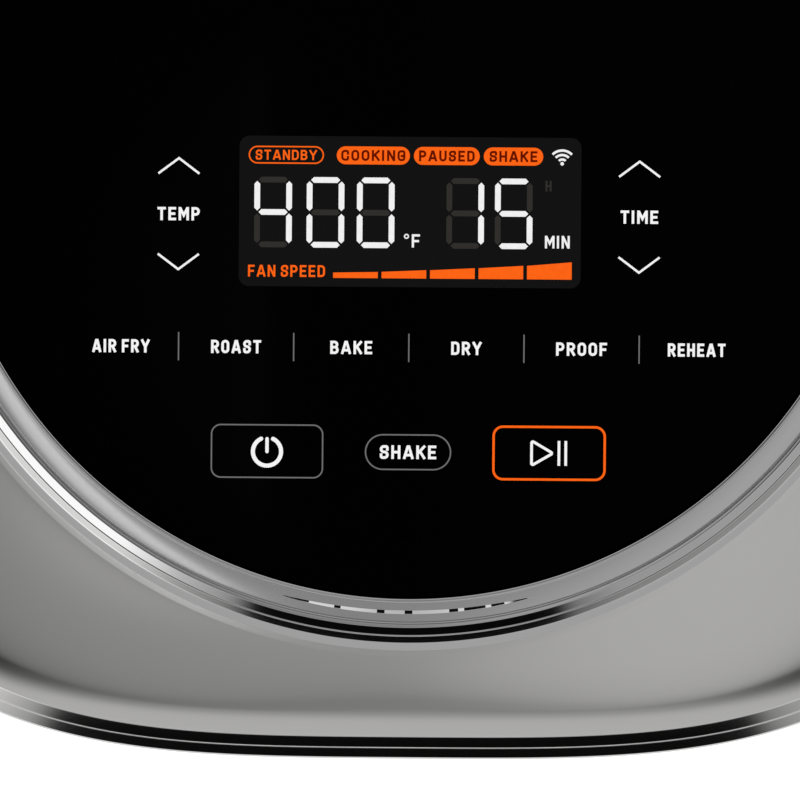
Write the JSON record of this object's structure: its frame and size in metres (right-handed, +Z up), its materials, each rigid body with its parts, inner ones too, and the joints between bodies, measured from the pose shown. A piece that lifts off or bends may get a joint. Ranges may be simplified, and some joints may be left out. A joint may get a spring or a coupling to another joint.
{
  "type": "air fryer",
  "caption": "Basket air fryer with a round black touch panel in a bright ring on a satin rounded-square body, a pull-out drawer with a recessed bar handle, and a crisper plate",
  "frame": {"origin": "on the surface the feet stand on, under the centre of the body", "axes": "+Z up through the control panel, -Y out through the drawer front, +X to the user's right"},
  "size_m": [0.3, 0.3, 0.3058],
  "materials": {
    "satin_metal": "satin nickel grey",
    "polished_ring": "polished",
    "handle_metal": "satin",
    "panel_glass": "gloss black glass, opaque behind the print",
    "base_plastic": "fine texture black",
    "pocket_plastic": "fine texture black",
    "foot_rubber": "matt",
    "silicone": "matt",
    "nonstick": "semi-gloss non-stick",
    "inner_steel": "plain",
    "bright_steel": "bright",
    "element_steel": "oxidised",
    "screw_steel": "zinc",
    "circuit_board": "solder mask",
    "display_black": "gloss",
    "white_plastic": "matt",
    "blanket": "felted",
    "copper": "enamelled copper",
    "cable_sheath": "matt"
  },
  "bodies": {
    "housing": {"rubber_feet": "foot_rubber", "foot_screws": "screw_steel", "base_pan": "base_plastic", "shell_left": "satin_metal", "shell_right": "satin_metal", "shell_back": "satin_metal", "shell_header": "satin_metal", "shell_sill": "satin_metal", "top_cover": "satin_metal", "rear_cover": "base_plastic", "rear_cover_screws": "screw_steel", "cord_gland": "base_plastic", "exhaust_duct": "inner_steel", "control_glass": "panel_glass", "bezel_ring": "polished_ring", "touch_board": "circuit_board", "display_module": "display_black", "touch_key_springs": "inner_steel", "panel_carrier": "base_plastic", "cooking_chamber": "inner_steel", "front_frame": "base_plastic", "drawer_rail_left": "inner_steel", "drawer_rail_right": "inner_steel", "door_switch": "display_black", "heat_reflector": "bright_steel", "element_insulators": "white_plastic", "insulation_pad": "blanket", "air_sensor": "inner_steel", "thermal_cutout": "inner_steel", "heating_element": "element_steel", "element_guard": "bright_steel", "motor_case": "inner_steel", "motor_windings": "copper", "motor_bracket": "inner_steel", "motor_mounts": "foot_rubber", "motor_screws": "screw_steel", "motor_deck": "inner_steel", "tie_rods": "inner_steel", "deck_screws": "screw_steel", "power_board": "circuit_board", "buzzer": "display_black", "radio_module": "circuit_board", "panel_cable": "cable_sheath"},
    "drawer": {"drawer_front": "satin_metal", "drawer_backing": "base_plastic", "handle_pocket": "pocket_plastic", "handle_bar": "handle_metal", "handle_trim": "polished_ring", "handle_screws": "screw_steel", "drawer_gasket": "silicone", "basket": "nonstick", "basket_screws": "screw_steel"},
    "crisper": {"crisper_plate": "nonstick", "plate_feet": "silicone"},
    "rotor": {"motor_shaft": "bright_steel", "convection_fan": "bright_steel", "cooling_fan": "white_plastic", "fan_nut": "bright_steel", "motor_rotor": "inner_steel"},
    "plunger": {"switch_plunger": "white_plastic"}
  },
  "joints": [
    {"name": "drawer_slide", "type": "slide", "parent": "housing", "child": "drawer", "axis": [0, -1, 0], "range_m": [0, 0.22]},
    {"name": "crisper_lift", "type": "slide", "parent": "drawer", "child": "crisper", "axis": [0, 0, 1], "range_m": [0, 0.124]},
    {"name": "fan_spin", "type": "hinge", "parent": "housing", "child": "rotor", "pos_m": [0, 0, 0.24], "axis": [0, 0, 1], "continuous": true},
    {"name": "switch_press", "type": "slide", "parent": "housing", "child": "plunger", "axis": [0, 1, 0], "range_m": [0, 0.0015], "stiffness_N_per_m": 200, "springref_m": -0.002}
  ]
}
